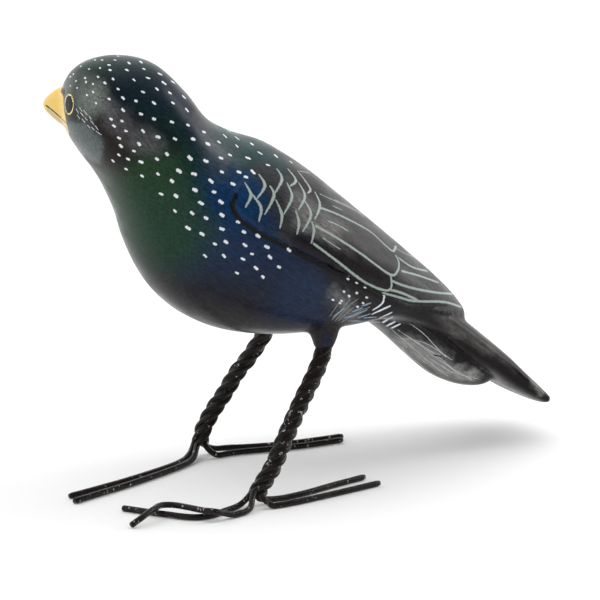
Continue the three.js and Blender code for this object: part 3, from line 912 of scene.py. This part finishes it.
def add_bump(g, shader, height, strength, distance):
    bump = g.add("ShaderNodeBump")
    g.feed(bump.inputs["Height"], height)
    bump.inputs["Strength"].default_value = strength
    bump.inputs["Distance"].default_value = distance
    g.feed(shader["Normal"], bump.outputs["Normal"])


def wire_paint():
    """Gloss black paint on wire, chipped to pale metal here and there."""
    material, g, shader = new_material("black wire paint")
    spot = millimetres(g)
    chips = g.noise(spot, 0.8, 4.0, 0.7).outputs["Fac"]
    chip = g.ramp(chips, 0.625, 0.655, 0.0, 1.0)
    dull = g.noise(spot, 0.35, 2.0).outputs["Fac"]
    black = g.mix(dull, WIRE_BLACK, WIRE_WORN)
    g.feed(shader["Base Color"], g.mix(chip, black, BARE_METAL))
    g.feed(shader["Roughness"], g.ramp(dull, 0.3, 0.7, 0.22, 0.42))
    shader["IOR"].default_value = 1.30
    add_bump(g, shader, g.noise(spot, 1.6, 3.0).outputs["Fac"], 0.35, 0.0003)
    return material


# Broad colours and painted sheens, each as it shows from the camera: place, reach in mm, softness,
# strength, colour.
ZONES_AND_SHEENS = [
    ((125, 62), (17, 18, 9), 0.6, 0.9, (0.014, 0.040, 0.030)),
    ((155, 95), (13, 12, 12), 0.6, 0.9, (0.004, 0.010, 0.018)),
    ((165, 145), (11, 14, 12), 0.6, 0.95, (0.002, 0.008, 0.024)),
    ((200, 185), (13, 14, 11), 0.6, 0.95, (0.002, 0.007, 0.022)),
    ((215, 222), (13, 16, 13), 0.6, 1.0, (0.006, 0.028, 0.085)),
    ((255, 255), (15, 20, 11), 0.6, 0.85, (0.007, 0.020, 0.056)),
    ((298, 300), (8, 14, 7), 0.7, 0.7, (0.010, 0.030, 0.080)),
    ((150, 185), (9, 17, 15), 0.6, 0.95, (0.011, 0.038, 0.012)),
    ((165, 232), (9, 17, 11), 0.6, 0.95, (0.010, 0.036, 0.020)),
    ((210, 300), (16, 16, 8), 0.7, 0.6, (0.012, 0.010, 0.011)),
    ((246, 150), (12, 12, 7), 0.6, 0.8, (0.012, 0.045, 0.045)),
    ((240, 197), (5, 8, 6), 0.6, 0.9, (0.004, 0.030, 0.090)),
    ((96, 88), (5, 7, 4), 0.6, 0.7, (0.004, 0.006, 0.007)),
    ((111, 146), (6, 9, 7.5), 0.5, 0.95, (0.010, 0.006, 0.005)),
    ((83, 142), (4.6, 9, 5.4), 0.16, 0.95, (0.085, 0.105, 0.105)),
    # Painted sheen behind the eye.
    ((91, 100), (2.6, 6, 3.4), 0.8, 0.75, (0.170, 0.190, 0.170)),
    # Painted sheen on the back of the neck.
    ((216, 146), (5, 8, 6), 0.7, 0.5, (0.070, 0.078, 0.084)),
]

# Long bands of colour and painted sheens: both ends as they show, half width and softness in mm,
# strength, colour.
BANDS_AND_SHEENS = [
    # Painted sheen down the side of the neck.
    ((112, 112), (152, 142), 2.0, 2.4, 0.8, (0.100, 0.096, 0.104)),
    ((140, 118), (172, 140), 2.0, 2.4, 0.8, (0.003, 0.006, 0.012)),
    # Painted sheen on the back of the neck.
    ((198, 120), (222, 160), 1.2, 2.0, 0.5, (0.110, 0.120, 0.130)),
    ((266, 176), (292, 232), 3.4, 1.6, 0.85, (0.030, 0.029, 0.031)),
    ((246, 186), (276, 232), 1.2, 1.6, 0.5, (0.006, 0.030, 0.075)),
    ((335, 296), (352, 318), 1.6, 2.4, 0.55, (0.230, 0.235, 0.240)),
    ((318, 312), (326, 338), 1.0, 1.4, 0.8, (0.006, 0.014, 0.050)),
    ((340, 212), (416, 272), 4.0, 4.0, 0.8, (0.060, 0.058, 0.058)),
    # Painted sheen across the middle of the wing.
    ((305, 215), (345, 240), 3.2, 3.2, 0.9, (0.160, 0.155, 0.148)),
    ((345, 240), (390, 268), 2.6, 2.6, 0.9, (0.016, 0.013, 0.013)),
    ((300, 242), (385, 284), 2.0, 1.8, 0.9, (0.010, 0.008, 0.009)),
    ((405, 278), (448, 302), 2.4, 2.4, 0.8, (0.060, 0.058, 0.058)),
    ((408, 344), (466, 377), 3.2, 2.2, 0.95, (0.290, 0.290, 0.278)),
    ((401, 349), (440, 377), 1.0, 1.2, 0.4, (0.050, 0.049, 0.048)),
    ((388, 302), (428, 326), 3.0, 2.0, 0.9, (0.008, 0.008, 0.012)),
    ((420, 311), (470, 347), 3.6, 0.9, 0.97, (0.006, 0.004, 0.005)),
    ((470, 350), (536, 397), 4.6, 0.9, 0.97, (0.006, 0.004, 0.005)),
    # Painted sheen along the top of the tail's edge, in two pieces.
    ((434, 311), (490, 349), 1.3, 1.7, 0.9, (0.090, 0.085, 0.080)),
    ((482, 343), (516, 369), 0.8, 1.2, 0.6, (0.080, 0.076, 0.072)),
    ((534, 385), (539, 393), 1.0, 1.0, 0.8, (0.170, 0.170, 0.155)),
]


def one_side_place(g, spot):
    """The place with its ragged edges, with the right side of the bird folded onto the left."""
    wander = g.noise(spot, 0.12, 4.0, 0.6).outputs["Color"]
    wander = g.vector("SCALE", g.vector("SUBTRACT", wander, NODE_MIDDLE), scale=8.0)
    parts = g.add("ShaderNodeSeparateXYZ")
    g.feed(parts.inputs[0], g.vector("SUBTRACT", g.vector("ADD", spot, wander), tuple(SHIFT)))
    folded = g.add("ShaderNodeCombineXYZ")
    g.feed(folded.inputs["X"], parts.outputs["X"])
    g.feed(folded.inputs["Y"], g.math("MULTIPLY", g.math("ABSOLUTE", parts.outputs["Y"]), -1.0))
    g.feed(folded.inputs["Z"], parts.outputs["Z"])
    return folded.outputs[0]


def brush_hairs(g, spot):
    """Fine streaks that run along the back."""
    turned = g.add("ShaderNodeVectorRotate", rotation_type="Y_AXIS")
    g.feed(turned.inputs["Vector"], spot)
    turned.inputs["Angle"].default_value = BRUSH_SLOPE
    return g.noise(g.vector("MULTIPLY", turned.outputs[0], BRUSH_STRETCH), 1.0, 4.0, 0.7).outputs["Fac"]


def broad_colours(g, surface, spot, grain):
    """The ground with its zones and bands, painted sheens among them, streaked by the brush, and the
    yellow of the bill.
    """
    patch, band = patch_group(), band_group()
    place = one_side_place(g, spot)
    colour = g.mix(grain, BASE_BLACK, BASE_BROWN)
    for middle, reach, softness, strength, shade in ZONES_AND_SHEENS:
        colour = g.group(patch, Under=colour, Colour=(*shade, 1), Position=place,
                         Centre=tuple(surface.seen(*middle)), Radii=reach, Softness=softness,
                         Strength=strength)["Colour"]
    for start, end, half_width, softness, strength, shade in BANDS_AND_SHEENS:
        colour = g.group(band, Under=colour, Colour=(*shade, 1), Position=place,
                         Start=tuple(surface.seen(*start)), End=tuple(surface.seen(*end)),
                         Half_width=half_width, Softness=softness, Strength=strength)["Colour"]
    colour = g.mix(1.0, colour, g.ramp(grain, 0.3, 0.7, 0.6, 1.4), "MULTIPLY")
    home = g.vector("SUBTRACT", spot, tuple(SHIFT))
    return g.group(patch, Under=colour, Colour=BILL_YELLOW, Position=home,
                   Centre=BILL_PATCH[0], Radii=BILL_PATCH[1], Softness=0.025)["Colour"]


def tone_ramp(g, tone):
    ramp = g.add("ShaderNodeValToRGB")
    ramp.color_ramp.interpolation = "CONSTANT"
    for place, shade in TONE_COLOURS[2:]:
        ramp.color_ramp.elements.new(place)
    for element, (place, shade) in zip(ramp.color_ramp.elements, TONE_COLOURS):
        element.position = place
        element.color = shade
    g.feed(ramp.inputs["Fac"], tone)
    return ramp.outputs["Color"]


def strokes_over(g, spot, colour):
    """The recorded strokes over a colour, and how much of the spot is under any of them."""
    stroke = stroke_group()
    edge = g.vector("SUBTRACT", g.noise(spot, 2.4, 2.0).outputs["Color"], NODE_MIDDLE)
    touched = g.vector("ADD", spot, g.vector("SCALE", edge, scale=0.35))
    covered = 0.0
    for layer in range(1, STROKE_LAYERS + 1):
        ends = {name: g.add("ShaderNodeAttribute", attribute_name=f"stroke_{name}_{layer}")
                for name in ("start", "end", "look")}
        made = g.group(stroke, Position=touched, Start=ends["start"].outputs["Vector"],
                       End=ends["end"].outputs["Vector"], Look=ends["look"].outputs["Vector"])
        colour = g.mix(made["Mask"], colour, tone_ramp(g, made["Tone"]))
        covered = g.math("MAXIMUM", covered, made["Mask"])
    return colour, covered


def bird_paint(surface):
    """Hand painting under a clear glaze."""
    material, g, shader = new_material("hand painted glaze")
    spot = millimetres(g)
    grain = brush_hairs(g, spot)
    colour, covered = strokes_over(g, spot, broad_colours(g, surface, spot, grain))
    g.feed(shader["Base Color"], colour)
    g.feed(shader["Roughness"], g.ramp(g.noise(spot, 0.2, 3.0).outputs["Fac"], 0.3, 0.7, 0.22, 0.34))
    shader["IOR"].default_value = 1.22
    height = g.math("ADD", g.math("MULTIPLY", grain, 0.5), g.math("MULTIPLY", covered, 0.3))
    add_bump(g, shader, height, 0.25, 0.0002)
    return material


# Wires

def centripetal(points, count):
    """A centripetal Catmull-Rom curve through points, evenly spread by its parameter."""
    p = [np.array(q, float) for q in points]
    p = [2 * p[0] - p[1], *p, 2 * p[-1] - p[-2]]
    curve = []
    for position in np.linspace(0, len(points) - 1, count):
        k = min(int(position), len(points) - 2)
        t = position - k
        a, b, c, d = p[k:k + 4]
        gaps = [max(np.linalg.norm(n - m) ** 0.5, 1e-4) for m, n in ((a, b), (b, c), (c, d))]
        first = ((b - a) / gaps[0] - (c - a) / (gaps[0] + gaps[1]) + (c - b) / gaps[1]) * gaps[1]
        last = ((c - b) / gaps[1] - (d - b) / (gaps[1] + gaps[2]) + (d - c) / gaps[2]) * gaps[1]
        curve.append(b + t * (first + t * (3 * (c - b) - 2 * first - last
                                           + t * (2 * (b - c) + first + last))))
    return np.array(curve)


class LegLine:
    """The line down the middle of a twist, measured along its length."""

    def __init__(self, leg):
        hip, end = np.array(leg["hip"]), np.array(leg["thigh_end"])
        top = end - unit(end - hip) * SOCKET_REACH
        self.curve = centripetal([top, end, *leg["below"]], LINE_POINTS)
        steps = np.linalg.norm(np.diff(self.curve, axis=0), axis=1)
        self.measure = np.concatenate([[0], np.cumsum(steps)])
        self.length = self.measure[-1]

    def at(self, part):
        place = part * self.length
        return np.array([np.interp(place, self.measure, self.curve[:, k]) for k in range(3)])

    def strand(self, part, quarter, radius):
        centre = self.at(part)
        line = unit(self.at(min(part + LINE_STEP, 1)) - self.at(max(part - LINE_STEP, 0)))
        ahead = unit(np.array([-1, 0, 0]) + line * line[0])
        change = PITCH_TOP - PITCH_ANKLE
        turn = 2 * math.pi * self.length / change * math.log(1 + change * (1 - part) / PITCH_ANKLE)
        angle = (quarter + 0.5) * math.pi / 2 - turn
        return centre + (ahead * math.cos(angle) + np.cross(line, ahead) * math.sin(angle)) * radius

    def turns(self):
        change = PITCH_TOP - PITCH_ANKLE
        return self.length / change * math.log(1 + change / PITCH_ANKLE)


def wire_path(line, quarter, toe):
    """A wire from the thigh down its twist and out along its toe."""
    steps = round(line.turns() * TURN_STEPS)
    parts = np.linspace(0, 1, STRAND_STEPS * steps + 1)
    fine = [line.strand(part, quarter, TWIST_RADIUS) for part in parts]
    last = [line.strand(1 - 1 / steps, quarter, TWIST_RADIUS), fine[-1]]
    spots = [(x, y, lift + WIRE_RADIUS) for x, y, lift in toe]
    skipped = BEND_STEPS + 1
    bend = centripetal([*last, *spots], BEND_STEPS * len(spots) + skipped)[skipped:]
    bend[:, 2] = np.maximum(bend[:, 2], WIRE_RADIUS)
    return np.concatenate([fine, bend])


def leg_core(line):
    """What fills the middle of a twist, thicker towards the thigh."""
    parts = np.linspace(0, CORE_END, CORE_RINGS)
    radii = CORE_RADIUS + CORE_SWELL * (1 - parts) ** 1.2
    return tube([line.at(part) for part in parts], radii, CORE_SIDES, (1, 0, 0))


def wires():
    paint = wire_paint()
    for leg_name, leg in LEGS.items():
        line = LegLine(leg)
        core = leg_core(line)
        for wire_name, (quarter, toe) in leg["wires"].items():
            path = wire_path(line, quarter, toe)[::-1]
            radii = np.full(len(path), WIRE_RADIUS)
            radii[0] = WIRE_RADIUS * WIRE_END_SHARE
            points, faces = tube(path, radii, WIRE_SIDES)
            if core is not None:
                start = len(points)
                points = np.concatenate([points, core[0]])
                faces = faces + [tuple(start + k for k in face) for face in core[1]]
                core = None
            points[:, 2] = np.maximum(points[:, 2], 0.0)
            obj = piece(f"{leg_name}_{wire_name}_paint", points + SHIFT, faces, MM)
            obj.data.materials.append(paint)
            obj.data.shade_smooth()
            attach(obj, "root")
            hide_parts(f"{leg_name}_{wire_name}")


# Bird

def painted_bird():
    bird = clay()
    surface = Surface(bird)
    paint = Paint(surface)
    lay_wing(paint)
    lay_dots(paint)
    lay_tail(paint)
    lay_face(paint)
    record(bird, paint.rows)
    bird.data.transform(Matrix.Scale(MM, 4) @ Matrix.Translation(SHIFT))
    bird.name = "painted_clay_bird"
    bird.data.materials.clear()
    bird.data.materials.append(bird_paint(surface))
    bird.data.shade_smooth()
    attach(bird, "root")
    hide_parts("ceramic_body")


# Studio

FLOOR_HALF = 3
FLOOR_DROP = 0.00002
LAMP_AIM = (0, 0, 0.05)
CEILING = (0.0, 0.0, 1.3)
CEILING_SIZE = (2.6, 2.4)


def pale_floor():
    h = FLOOR_HALF
    floor = piece("floor", [(-h, -h, 0), (h, -h, 0), (h, h, 0), (-h, h, 0)], [(0, 1, 2, 3)])
    floor.location.z = -FLOOR_DROP
    material, g, shader = new_material("pale floor")
    tint = g.noise(g.add("ShaderNodeTexCoord").outputs["Object"], 3.0, 2.0).outputs["Fac"]
    g.feed(shader["Base Color"], g.mix(tint, (0.90, 0.90, 0.90, 1), (0.92, 0.92, 0.92, 1)))
    shader["Roughness"].default_value = 0.9
    floor.data.materials.append(material)


def lamp(name, place, size, power, shadow=True):
    data = bpy.data.lights.new(name, "AREA")
    data.shape = "RECTANGLE"
    data.size, data.size_y = size
    data.energy = power
    data.use_shadow = shadow
    made = bpy.data.objects.new(name, data)
    bpy.context.scene.collection.objects.link(made)
    made.location = place
    made.rotation_euler = (Vector(LAMP_AIM) - Vector(place)).to_track_quat("-Z", "Y").to_euler()
    return made


def lamps():
    lamp("window right", (1.1, -0.1, 0.55), (0.4, 0.9), 4.5)
    lamp("window left", (-1.1, -0.6, 0.3), (0.3, 0.8), 1.2, shadow=False)
    lamp("top light", CEILING, CEILING_SIZE, 14).visible_glossy = False
    lamp("floor fill", CEILING, CEILING_SIZE, 21, shadow=False).visible_glossy = False


def surroundings():
    """A white room, darker on the side of the camera."""
    world = bpy.data.worlds.new("studio")
    bpy.context.scene.world = world
    world.use_nodes = True
    w = Graph(world.node_tree)
    back = world.node_tree.nodes["Background"]
    direction = w.add("ShaderNodeSeparateXYZ")
    w.feed(direction.inputs[0], w.add("ShaderNodeTexCoord").outputs["Generated"])
    w.feed(back.inputs["Strength"], w.ramp(direction.outputs["Y"], -0.5, 0.3, 0.22, 1.1))
    back.inputs["Color"].default_value = (1, 1, 1, 1)


def set_camera():
    data = bpy.data.cameras.new("camera")
    data.sensor_width = SENSOR_WIDTH
    data.lens = FOCAL * SENSOR_WIDTH / PICTURE_WIDTH
    data.clip_start, data.clip_end = 0.05, 20
    camera = bpy.data.objects.new("camera", data)
    bpy.context.scene.collection.objects.link(camera)
    camera.location = (CAMERA + SHIFT) * MM
    camera.rotation_euler = Vector(LOOK).to_track_quat("-Z", "Y").to_euler()
    bpy.context.scene.camera = camera
    bpy.context.scene.view_settings.view_transform = "Standard"


painted_bird()
wires()
pale_floor()
lamps()
surroundings()
set_camera()
